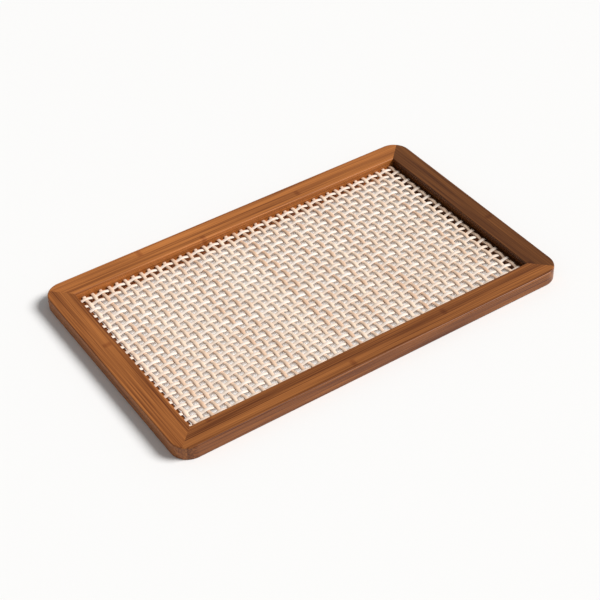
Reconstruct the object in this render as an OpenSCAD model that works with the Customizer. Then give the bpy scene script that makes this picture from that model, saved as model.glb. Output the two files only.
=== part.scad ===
// Gongfu tea tray: four laminated bamboo rails, mitred at the corners, round a mat of woven rattan.
// Millimetres, +Z up, +X along the tray, front at -Y. The origin is the middle of the underside.

/* [Tray] */
// Outside length of the tray
tray_l = 290; // [220:1:350]
// Outside width of the tray
tray_w = 180; // [130:1:220]
// Height of the rails
rail_h = 10; // [9:0.5:15]
// Depth of the recess, from the rim down to the top of the mat
recess_d = 4.5; // [3:0.25:5]
// Radius of the upright outer corners
corner_r = 12.5; // [6:0.5:13]

/* [Rails] */
// Width of a rail's top face
rail_w = 16.5; // [14:0.5:22]
// Width of the ledge that carries the mat
ledge_w = 4; // [3:0.25:6]
// Radius of the eased outer edge, along the rim
outer_ease = 0.9; // [0.3:0.1:2]
// Radius of the eased inner edge, along the rim
inner_ease = 0.7; // [0.3:0.1:2]
// Radius of the eased outer edge, along the underside
foot_ease = 0.6; // [0.3:0.1:1.5]

/* [Corner splines] */
// Length of a spline across its mitre joint
spline_l = 14; // [10:0.5:18]
// Width of a spline along its mitre joint
spline_w = 10; // [6:0.5:11]
// Thickness of a spline
spline_t = 2.5; // [1.5:0.25:4]
// Glue gap on every side of a spline
spline_gap = 0.1; // [0.05:0.05:0.3]

/* [Woven mat] */
// Width of a rattan strand
strand_w = 2.7; // [2:0.1:3.4]
// Thickness of a rattan strand
strand_t = 1; // [0.6:0.05:1.2]
// Distance from one strand to the next, both ways
strand_pitch = 6.05; // [5.2:0.05:8]
// Gap between two strands where they cross
weave_gap = 0.05; // [0.02:0.01:0.1]
// Flat length that a strand keeps beyond each side of the strand it crosses
flat_extra = 0.15; // [0.05:0.05:0.3]
// Gap between the mat and the left and rear walls that it is pushed up to
mat_gap = 0.1; // [0.05:0.05:0.5]
// Gap left between the mat and the right wall, where the sheet was cut short
right_gap = 1.6; // [0.5:0.1:2.5]
// Gap left between the mat and the front wall
front_gap = 1; // [0.5:0.1:2.5]
// Distance from the left wall to the middle of the first cross strand
first_cross = 5.6; // [3:0.1:6]
// Distance from the rear wall to the middle of the first long strand
first_long = 3.4; // [3:0.1:6]
// Least length that a strand runs past the middle of the last strand it crosses
end_stub = 1.7; // [1.7:0.1:3]

/* [Hidden] */
$fn = 64;
bamboo = "#9a5a2c";
bamboo_light = "#b87844";
rattan = "#f3dcc4";
rattan_warm = "#e9c9a6";

// The opening inside the walls, and the mat that lies in it
opening_l = tray_l - 2 * rail_w;
opening_w = tray_w - 2 * rail_w;
mat_l = opening_l - mat_gap - right_gap;
mat_w = opening_w - mat_gap - front_gap;
mat_left = -opening_l / 2 + mat_gap;
mat_rear = opening_w / 2 - mat_gap;
crimp = (strand_t + weave_gap) / 2;
mat_t = 2 * strand_t + weave_gap;
mat_mid_z = rail_h - recess_d - mat_t / 2;
ledge_h = rail_h - recess_d - mat_t;

// Where the strands lie, counted from the mat's left and rear edges
cross_lead = first_cross - mat_gap;
long_lead = first_long - mat_gap;
cross_count = 1 + floor((mat_l - cross_lead - end_stub) / strand_pitch);
long_count = 1 + floor((mat_w - long_lead - end_stub) / strand_pitch);
flat_half = strand_w / 2 + flat_extra;

// Cross strands are kept in bundles of neighbours, one node to a bundle
bundle_size = 3;
bundle_count = ceil(cross_count / bundle_size);

// The middle of a mitre, measured from the rail's outer faces, where its spline sits
corner_cut = corner_r * (1 - sqrt(1 / 2));
spline_at = (rail_w + corner_cut) / 2;

function two_digits(i) = str(i < 10 ? "0" : "", i);
function long_name(j) = str("long_strand_", two_digits(j + 1));
function bundle_name(b) = str("cross_strands_", two_digits(b + 1));

// A rail's section: x is the distance in from the outer face
module rail_section() {
    difference() {
        square([rail_w, rail_h]);
        translate([0, rail_h - outer_ease]) square(outer_ease);
        square(foot_ease);
        translate([rail_w - inner_ease, rail_h - inner_ease]) square(inner_ease);
    }
    translate([outer_ease, rail_h - outer_ease]) circle(r = outer_ease);
    translate([foot_ease, foot_ease]) circle(r = foot_ease);
    translate([rail_w - inner_ease, rail_h - inner_ease]) circle(r = inner_ease);
    square_from(rail_w / 2, 0, rail_w + ledge_w, ledge_h);
}

module square_from(x0, y0, x1, y1) {
    translate([x0, y0]) square([x1 - x0, y1 - y0]);
}

// The part of the section that turns round a corner: x is the distance from the corner's centre
module corner_section() {
    intersection() {
        translate([corner_r, 0]) mirror([1, 0]) rail_section();
        square([corner_r, rail_h]);
    }
}

// The plan of a rail between its two corner arcs, cut at 45 degrees from each arc's centre inwards
module rail_plan(length) {
    arc_x = length / 2 - corner_r;
    inner_x = length / 2 - rail_w - ledge_w;
    inner_y = rail_w + ledge_w;
    polygon([
        [-arc_x, 0], [arc_x, 0], [arc_x, corner_r],
        [inner_x, inner_y], [-inner_x, inner_y], [-arc_x, corner_r]
    ]);
}

module straight_part(length) {
    intersection() {
        linear_extrude(rail_h) rail_plan(length);
        translate([-length / 2, 0, 0]) rotate([90, 0, 90]) linear_extrude(length) rail_section();
    }
}

// Half of a rounded corner, from the mitre to where the rail runs straight
module corner_half(length) {
    translate([length / 2 - corner_r, corner_r, 0])
        rotate([0, 0, -90]) rotate_extrude(angle = 45) corner_section();
}

// A thin rectangular piece that lies flat across the mitre at a rail's right-hand end
module spline_block(length, gap) {
    translate([length / 2 - spline_at, spline_at, rail_h / 2]) rotate([0, 0, 45])
        cube([spline_l + 2 * gap, spline_w + 2 * gap, spline_t + 2 * gap], center = true);
}

// One rail with its outer face at y = 0 and its inside towards +y
module rail(length) {
    difference() {
        union() {
            straight_part(length);
            corner_half(length);
            mirror([1, 0, 0]) corner_half(length);
        }
        spline_block(length, spline_gap);
        mirror([1, 0, 0]) spline_block(length, spline_gap);
    }
}

module front_rail() {
    color(bamboo) translate([0, -tray_w / 2, 0]) rail(tray_l);
}

module rear_rail() {
    color(bamboo) translate([0, tray_w / 2, 0]) rotate([0, 0, 180]) rail(tray_l);
}

module left_rail() {
    color(bamboo) translate([-tray_l / 2, 0, 0]) rotate([0, 0, -90]) rail(tray_w);
}

module right_rail() {
    color(bamboo) translate([tray_l / 2, 0, 0]) rotate([0, 0, 90]) rail(tray_w);
}

module front_right_spline() {
    color(bamboo_light) translate([0, -tray_w / 2, 0]) spline_block(tray_l, 0);
}

module front_left_spline() {
    mirror([1, 0, 0]) front_right_spline();
}

module rear_right_spline() {
    mirror([0, 1, 0]) front_right_spline();
}

module rear_left_spline() {
    mirror([0, 1, 0]) front_left_spline();
}

// Height of a strand's middle at distance x along it: flat over and under each strand it
// crosses, and a straight slope between. first_side is 1 where it starts above, -1 below.
function wave(x, lead, first_side) =
    let (
        k = round((x - lead) / strand_pitch),
        side = first_side * (k % 2 == 0 ? 1 : -1),
        off = abs(x - lead - k * strand_pitch),
        slope = (strand_pitch / 2 - off) / (strand_pitch / 2 - flat_half)
    )
    crimp * side * min(1, slope);

// The places along a strand where its wave bends, with its two ends
function bends(length, lead, count) = concat(
    [0],
    [for (k = [-1 : count], e = [-flat_half, flat_half])
        let (x = lead + k * strand_pitch + e)
        if (x > 0 && x < length) x],
    [length]
);

// A strand along +x from x = 0, woven over and under strands that run along y
module strand(length, lead, count, first_side) {
    xs = bends(length, lead, count);
    last = len(xs) - 1;
    top = [for (x = xs) [x, wave(x, lead, first_side) + strand_t / 2]];
    underside = [for (i = [last : -1 : 0]) [xs[i], wave(xs[i], lead, first_side) - strand_t / 2]];
    rotate([90, 0, 0]) linear_extrude(strand_w, center = true) polygon(concat(top, underside));
}

// Long strand j, counted from the rear. Even ones start over the first cross strand.
module long_strand(j) {
    y = mat_rear - long_lead - j * strand_pitch;
    color(rattan) translate([mat_left, y, mat_mid_z])
        strand(mat_l, cross_lead, cross_count, j % 2 == 0 ? 1 : -1);
}

// Cross strand i, counted from the left, runs from the rear edge of the mat to the front
module cross_strand(i) {
    x = mat_left + cross_lead + i * strand_pitch;
    color(rattan_warm) translate([x, mat_rear, mat_mid_z]) rotate([0, 0, -90])
        strand(mat_w, long_lead, long_count, i % 2 == 0 ? -1 : 1);
}

module cross_bundle(b) {
    first = b * bundle_size;
    last = min(first + bundle_size, cross_count) - 1;
    for (i = [first : last]) cross_strand(i);
}

front_rail();
rear_rail();
left_rail();
right_rail();
front_left_spline();
front_right_spline();
rear_left_spline();
rear_right_spline();
for (j = [0 : long_count - 1])
    long_strand(j);
for (b = [0 : bundle_count - 1])
    cross_bundle(b);
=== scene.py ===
import math
import random

import bpy
from mathutils import Matrix, Vector


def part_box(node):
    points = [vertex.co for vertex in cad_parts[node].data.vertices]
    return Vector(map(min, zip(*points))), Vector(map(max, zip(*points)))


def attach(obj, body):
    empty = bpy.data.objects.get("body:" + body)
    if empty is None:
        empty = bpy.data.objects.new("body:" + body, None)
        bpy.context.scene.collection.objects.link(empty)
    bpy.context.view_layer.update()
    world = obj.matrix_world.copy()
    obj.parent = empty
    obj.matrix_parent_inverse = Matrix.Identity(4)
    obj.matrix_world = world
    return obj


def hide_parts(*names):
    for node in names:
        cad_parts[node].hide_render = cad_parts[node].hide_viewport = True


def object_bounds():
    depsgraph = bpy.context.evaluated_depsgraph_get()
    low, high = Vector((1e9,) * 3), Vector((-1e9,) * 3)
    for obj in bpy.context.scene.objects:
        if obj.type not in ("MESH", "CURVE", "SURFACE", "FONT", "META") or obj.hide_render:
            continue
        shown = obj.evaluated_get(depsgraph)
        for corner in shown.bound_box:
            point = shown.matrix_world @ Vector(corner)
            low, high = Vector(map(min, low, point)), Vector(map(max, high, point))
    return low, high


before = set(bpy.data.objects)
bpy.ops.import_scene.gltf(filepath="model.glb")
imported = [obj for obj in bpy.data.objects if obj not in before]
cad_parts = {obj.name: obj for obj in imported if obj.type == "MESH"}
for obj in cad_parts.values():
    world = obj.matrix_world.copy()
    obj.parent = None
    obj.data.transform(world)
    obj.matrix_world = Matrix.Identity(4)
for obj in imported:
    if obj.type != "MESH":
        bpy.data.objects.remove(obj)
cad_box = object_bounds()
MM = 0.001

# The nodes, by kind
LONG_NODES = sorted(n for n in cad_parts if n.startswith("long_strand"))
BUNDLE_NODES = sorted(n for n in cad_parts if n.startswith("cross_strands"))
RAIL_NODES = sorted(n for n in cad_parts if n.endswith("rail"))
SPLINE_NODES = sorted(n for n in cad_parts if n.endswith("spline"))

# The mat's sizes and places, worked out from the CAD strand parts
first_low, first_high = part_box(LONG_NODES[0])
second_low, second_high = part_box(LONG_NODES[1])
bundle_low, bundle_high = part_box(BUNDLE_NODES[0])
STRAND_W = first_high.y - first_low.y
PITCH = first_low.y - second_low.y
MAT_LEFT = first_low.x
MAT_RIGHT = first_high.x
MAT_REAR = bundle_high.y
MAT_FRONT = bundle_low.y
MAT_Z = (first_low.z + first_high.z) / 2
FIRST_CROSS_X = bundle_low.x + STRAND_W / 2
FIRST_LONG_Y = first_high.y - STRAND_W / 2

# The gap between two strands where they cross, as in the solids
WEAVE_GAP = 0.05 * MM
STRAND_T = (first_high.z - first_low.z - WEAVE_GAP) / 2
CRIMP = (STRAND_T + WEAVE_GAP) / 2

# A strand's mesh: rings to each pitch of the weave, points to each ring, and how full its section is
RINGS_PER_PITCH = 6
RING_POINTS = 10
SECTION_POWER = 0.8

# How much the strands differ: their width as a share, and how their width and path vary along them
WIDTH_SHARE = (0.9, 0.98)
SWELL_SHARE = 0.04
SWELL_RATE = 3
WANDER = 0.12 * MM
DRIFT_WAVES = 3
DRIFT_RATES = (8, 45)
LONG_SEED = 100
CROSS_SEED = 500

# Colours are linear RGB
WHITE = (1, 1, 1)
RAIL_DARK = (0.13, 0.032, 0.006)
RAIL_LIGHT = (0.5, 0.175, 0.042)
SPLINE_DARK = (0.3, 0.12, 0.04)
SPLINE_LIGHT = (0.6, 0.32, 0.14)
LONG_DARK = (0.82, 0.64, 0.5)
LONG_LIGHT = (0.98, 0.88, 0.79)
CROSS_DARK = (0.72, 0.46, 0.3)
CROSS_LIGHT = (0.92, 0.74, 0.58)
FLOOR_COLOR = (0.92, 0.915, 0.905, 1)

# Which axis a grain runs along
ALONG_X = 0
ALONG_Y = 1

# Each rail: the direction of its grain, and a lightness factor that is painted light and shade, darkening
# the right and front rails and brightening the rear rail for how light and its reflections fall on each
# side of the tray
RAIL_GRAIN_AND_PAINTED_SHADE = {
    "rear_rail": (ALONG_X, 1.1),
    "front_rail": (ALONG_X, 0.84),
    "left_rail": (ALONG_Y, 1.0),
    "right_rail": (ALONG_Y, 0.42),
}

# Bamboo: its strips, the glue lines between them, and its knuckles
STRIP_W = 5.5 * MM
STRIP_CONTRAST = 0.16
GLUE_FROM = 0.46
GLUE_TINT = (0.7, 0.62, 0.55)
KNUCKLE_EVERY = 330 * MM
KNUCKLE_SCATTER = 7.0
KNUCKLE_HALF = 0.003
KNUCKLE_TINT = (0.72, 0.62, 0.55)

# Noise cells to the metre, (along the grain, across it)
BAMBOO_FIBRES = (14, 1500)
BAMBOO_STREAKS = (9, 420)
CANE_FIBRES = (60, 3000)
CANE_BLOTCHES = 160


def smooth_noise(seed):
    """A slow random curve: the mean of a few sines with seeded rates and phases."""
    rng = random.Random(seed)
    waves = [(rng.uniform(*DRIFT_RATES), rng.uniform(0, math.tau)) for _ in range(DRIFT_WAVES)]
    return lambda s: sum(math.sin(rate * s + phase) for rate, phase in waves) / DRIFT_WAVES


def strand_rings(start, length, first_at, first_side, seed):
    """One strand as rings of (along, across, up) points, with a tone. first_at is where the first crossing
    lies, measured as start is, and first_side is 1 if the strand lies on top there, else -1."""
    rng = random.Random(seed)
    drift = smooth_noise(seed)
    width = STRAND_W * rng.uniform(*WIDTH_SHARE)
    tone = rng.random()
    count = round(length / PITCH * RINGS_PER_PITCH)
    rings = []
    for i in range(count + 1):
        s = length * i / count
        up = CRIMP * first_side * math.cos(math.pi * (start + s - first_at) / PITCH)
        half_width = width * (1 + SWELL_SHARE * drift(SWELL_RATE * s)) / 2
        wander = WANDER * drift(s)
        ring = []
        for k in range(RING_POINTS):
            turn = math.tau * k / RING_POINTS
            rise = math.sin(turn)
            crown = math.copysign(abs(rise) ** SECTION_POWER, rise) * STRAND_T / 2
            ring.append((s, math.cos(turn) * half_width + wander, up + crown))
        rings.append(ring)
    return rings, tone


def lengthwise_place(y):
    """Where a point of a long strand goes, for the strand whose middle is at y."""
    return lambda point: (MAT_LEFT + point[0], y + point[1], MAT_Z + point[2])


def crosswise_place(x):
    """Where a point of a cross strand goes, for the strand whose middle is at x."""
    return lambda point: (x + point[1], MAT_REAR - point[0], MAT_Z + point[2])


def add_strand(verts, faces, tones, rings, tone, place):
    """Adds one strand to the lists: its skin between rings, and a cap on each end."""
    base = len(verts)
    for ring in rings:
        for point in ring:
            verts.append(place(point))
            tones.append(tone)
    for i in range(len(rings) - 1):
        for k in range(RING_POINTS):
            a = base + i * RING_POINTS + k
            b = base + i * RING_POINTS + (k + 1) % RING_POINTS
            faces.append((a, b, b + RING_POINTS, a + RING_POINTS))
    end = base + (len(rings) - 1) * RING_POINTS
    faces.append(tuple(base + k for k in reversed(range(RING_POINTS))))
    faces.append(tuple(end + k for k in range(RING_POINTS)))


def strand_piece(node, strands, material):
    """One piece, of one strand or several, that stands for a CAD node."""
    verts = []
    faces = []
    tones = []
    for rings, tone, place in strands:
        add_strand(verts, faces, tones, rings, tone, place)
    name = node + "_cane"
    mesh = bpy.data.meshes.new(name)
    mesh.from_pydata(verts, [], faces)
    mesh.update()
    for polygon in mesh.polygons:
        polygon.use_smooth = len(polygon.vertices) == 4
    layer = mesh.attributes.new("tone", "FLOAT", "POINT")
    layer.data.foreach_set("value", tones)
    mesh.materials.append(material)
    piece = bpy.data.objects.new(name, mesh)
    bpy.context.scene.collection.objects.link(piece)
    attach(piece, "root")
    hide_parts(node)


class Nodes:
    """Short calls for building one material's node tree."""

    def __init__(self, name):
        self.material = bpy.data.materials.new(name)
        self.material.use_nodes = True
        self.tree = self.material.node_tree
        self.shader = self.tree.nodes["Principled BSDF"]

    def add(self, kind, **values):
        node = self.tree.nodes.new(kind)
        for key, value in values.items():
            setattr(node, key, value)
        return node

    def link(self, source, target):
        self.tree.links.new(source, target)

    def math(self, operation, a, b=0.0):
        """A Math node, whose inputs are sockets or plain numbers."""
        node = self.add("ShaderNodeMath", operation=operation)
        for socket, value in zip(node.inputs, (a, b)):
            if isinstance(value, (int, float)):
                socket.default_value = value
            else:
                self.link(value, socket)
        return node.outputs[0]

    def from_middle(self, value):
        """How far the fraction of value is from a half."""
        return self.math("ABSOLUTE", self.math("SUBTRACT", self.math("FRACT", value), 0.5))

    def ramp(self, factor, stops):
        node = self.add("ShaderNodeValToRGB")
        elements = node.color_ramp.elements
        while len(elements) < len(stops):
            elements.new(0.5)
        for element, (position, color) in zip(elements, stops):
            element.position = position
            element.color = (*color, 1)
        self.link(factor, node.inputs[0])
        return node.outputs[0]

    def noise(self, scale):
        """Noise in the object's own coordinates, with its own number of cells to the metre on each axis."""
        coords = self.add("ShaderNodeTexCoord")
        mapping = self.add("ShaderNodeMapping")
        mapping.inputs["Scale"].default_value = scale
        self.link(coords.outputs["Object"], mapping.inputs["Vector"])
        node = self.add("ShaderNodeTexNoise")
        node.inputs["Scale"].default_value = 1.0
        node.inputs["Detail"].default_value = 3.0
        self.link(mapping.outputs["Vector"], node.inputs["Vector"])
        return node.outputs["Fac"]

    def grain(self, along, cells):
        """Noise drawn out along one axis."""
        scale = [cells[1], cells[1], cells[1]]
        scale[along] = cells[0]
        return self.noise(scale)

    def multiply_colors(self, a, b):
        node = self.add("ShaderNodeMix", data_type="RGBA", blend_type="MULTIPLY")
        node.inputs[0].default_value = 1.0
        self.link(a, node.inputs[6])
        self.link(b, node.inputs[7])
        return node.outputs[2]

    def bump(self, height, strength, distance):
        node = self.add("ShaderNodeBump")
        node.inputs["Strength"].default_value = strength
        node.inputs["Distance"].default_value = distance
        self.link(height, node.inputs["Height"])
        self.link(node.outputs["Normal"], self.shader.inputs["Normal"])


def bamboo(name, along, dark, light):
    """Laminated carbonised bamboo: strips along the rail with fine fibres, each a little different."""
    n = Nodes(name)
    coords = n.add("ShaderNodeTexCoord")
    split = n.add("ShaderNodeSeparateXYZ")
    n.link(coords.outputs["Object"], split.inputs[0])
    strips = n.math("DIVIDE", split.outputs[1 - along], STRIP_W)
    strip_random = n.add("ShaderNodeTexWhiteNoise", noise_dimensions="1D")
    n.link(n.math("FLOOR", strips), strip_random.inputs["W"])
    random_value = strip_random.outputs["Value"]

    fibres = n.grain(along, BAMBOO_FIBRES)
    streaks = n.grain(along, BAMBOO_STREAKS)
    grain = n.math("ADD", n.math("MULTIPLY", fibres, 0.7), n.math("MULTIPLY", streaks, 0.3))
    strip_shift = n.math("MULTIPLY", n.math("SUBTRACT", random_value, 0.5), STRIP_CONTRAST)
    color = n.ramp(n.math("ADD", grain, strip_shift), [(0.33, dark), (0.68, light)])

    # A knuckle is a thin dark band across one strip, at a place of its own along it
    scatter = n.math("MULTIPLY", random_value, KNUCKLE_SCATTER)
    knuckles = n.math("ADD", n.math("DIVIDE", split.outputs[along], KNUCKLE_EVERY), scatter)
    knuckle_stops = [(0.0, KNUCKLE_TINT), (KNUCKLE_HALF, KNUCKLE_TINT), (2 * KNUCKLE_HALF, WHITE)]
    color = n.multiply_colors(color, n.ramp(n.from_middle(knuckles), knuckle_stops))

    # A dark glue line where two strips meet
    color = n.multiply_colors(color, n.ramp(n.from_middle(strips), [(GLUE_FROM, WHITE), (0.5, GLUE_TINT)]))

    n.link(color, n.shader.inputs["Base Color"])
    n.shader.inputs["Roughness"].default_value = 0.42
    n.shader.inputs["Specular IOR Level"].default_value = 0.3
    n.bump(fibres, 0.25, 0.2 * MM)
    return n.material


def rattan(name, along, dark, light):
    """Split cane with fine lengthwise fibres, soft blotches, and a tone of its own for each strand."""
    n = Nodes(name)
    fibres = n.grain(along, CANE_FIBRES)
    blotches = n.noise((CANE_BLOTCHES, CANE_BLOTCHES, CANE_BLOTCHES))
    tone = n.add("ShaderNodeAttribute", attribute_name="tone")
    mixed = n.math("ADD", n.math("MULTIPLY", fibres, 0.35), n.math("MULTIPLY", blotches, 0.4))
    mixed = n.math("ADD", mixed, n.math("MULTIPLY", tone.outputs["Fac"], 0.3))
    color = n.ramp(mixed, [(0.3, dark), (0.72, light)])
    n.link(color, n.shader.inputs["Base Color"])
    n.shader.inputs["Roughness"].default_value = 0.5
    n.bump(fibres, 0.3, 0.1 * MM)
    return n.material


def rail_wood(node):
    along, painted_light_factor = RAIL_GRAIN_AND_PAINTED_SHADE[node]
    # The factor scales the wood's colours as painted shade (below 1) or painted light (above 1)
    dark = tuple(painted_light_factor * c for c in RAIL_DARK)
    light = tuple(painted_light_factor * c for c in RAIL_LIGHT)
    return bamboo("bamboo_" + node, along, dark, light)


def repaint(node, material):
    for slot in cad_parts[node].material_slots:
        slot.link = "OBJECT"
        slot.material = material


def make_frame():
    """The rails and splines keep their CAD shapes and get their wood."""
    spline_wood = bamboo("bamboo_splines", ALONG_X, SPLINE_DARK, SPLINE_LIGHT)
    for name in RAIL_NODES:
        repaint(name, rail_wood(name))
    for name in SPLINE_NODES:
        repaint(name, spline_wood)


def make_long_strands():
    cane = rattan("rattan_long", ALONG_X, LONG_DARK, LONG_LIGHT)
    for j, node in enumerate(LONG_NODES):
        side = 1 if j % 2 == 0 else -1
        rings, tone = strand_rings(MAT_LEFT, MAT_RIGHT - MAT_LEFT, FIRST_CROSS_X, side, LONG_SEED + j)
        place = lengthwise_place(FIRST_LONG_Y - j * PITCH)
        strand_piece(node, [(rings, tone, place)], cane)


def make_cross_strands():
    cane = rattan("rattan_cross", ALONG_Y, CROSS_DARK, CROSS_LIGHT)
    first_at = MAT_REAR - FIRST_LONG_Y
    for node in BUNDLE_NODES:
        low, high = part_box(node)
        in_bundle = round((high.x - low.x - STRAND_W) / PITCH) + 1
        first = round((low.x + STRAND_W / 2 - FIRST_CROSS_X) / PITCH)
        strands = []
        for i in range(first, first + in_bundle):
            side = -1 if i % 2 == 0 else 1
            rings, tone = strand_rings(0, MAT_REAR - MAT_FRONT, first_at, side, CROSS_SEED + i)
            strands.append((rings, tone, crosswise_place(FIRST_CROSS_X + i * PITCH)))
        strand_piece(node, strands, cane)


def make_floor():
    """A pale floor just under the tray, which takes its shadow."""
    reach = 3.0
    corners = [(-reach, -reach, 0), (reach, -reach, 0), (reach, reach, 0), (-reach, reach, 0)]
    mesh = bpy.data.meshes.new("floor")
    mesh.from_pydata(corners, [], [(0, 1, 2, 3)])
    floor = bpy.data.objects.new("floor", mesh)
    floor.location.z = cad_box[0].z - 0.02 * MM
    bpy.context.scene.collection.objects.link(floor)
    paper = Nodes("floor_paper")
    paper.shader.inputs["Base Color"].default_value = FLOOR_COLOR
    paper.shader.inputs["Roughness"].default_value = 0.9
    mesh.materials.append(paper.material)


def make_light():
    """A soft key from the right and a little from the front, and an even fill."""
    world = bpy.data.worlds.new("studio")
    bpy.context.scene.world = world
    world.use_nodes = True
    fill = world.node_tree.nodes["Background"]
    fill.inputs["Color"].default_value = (*WHITE, 1)
    fill.inputs["Strength"].default_value = 0.27
    key = bpy.data.lights.new("key", "SUN")
    key.energy = 3.7
    key.angle = math.radians(26)
    key_object = bpy.data.objects.new("key", key)
    towards_key = Vector((0.6, -0.4, 0.66))
    key_object.rotation_euler = towards_key.to_track_quat("Z", "Y").to_euler()
    bpy.context.scene.collection.objects.link(key_object)


def make_camera():
    """The photograph's viewing angle, with its slight roll."""
    azimuth = math.radians(-32.43)
    elevation = math.radians(40.62)
    roll = math.radians(-2.2)
    distance = 0.962
    target = Vector((-6.86 * MM, -7.47 * MM, 0))
    back = Vector((
        math.sin(azimuth) * math.cos(elevation),
        -math.cos(azimuth) * math.cos(elevation),
        math.sin(elevation)))
    right = Vector((math.cos(azimuth), math.sin(azimuth), 0))
    up = back.cross(right)
    rolled_right = right * math.cos(roll) + up * math.sin(roll)
    rolled_up = up * math.cos(roll) - right * math.sin(roll)
    turn = Matrix((rolled_right, rolled_up, back)).transposed()
    camera = bpy.data.cameras.new("camera")
    camera.lens = 88.43
    camera.sensor_width = 36
    camera_object = bpy.data.objects.new("camera", camera)
    camera_object.matrix_world = Matrix.Translation(target + back * distance) @ turn.to_4x4()
    bpy.context.scene.collection.objects.link(camera_object)
    bpy.context.scene.camera = camera_object
    bpy.context.scene.view_settings.view_transform = "Standard"


make_frame()
make_long_strands()
make_cross_strands()
make_floor()
make_light()
make_camera()
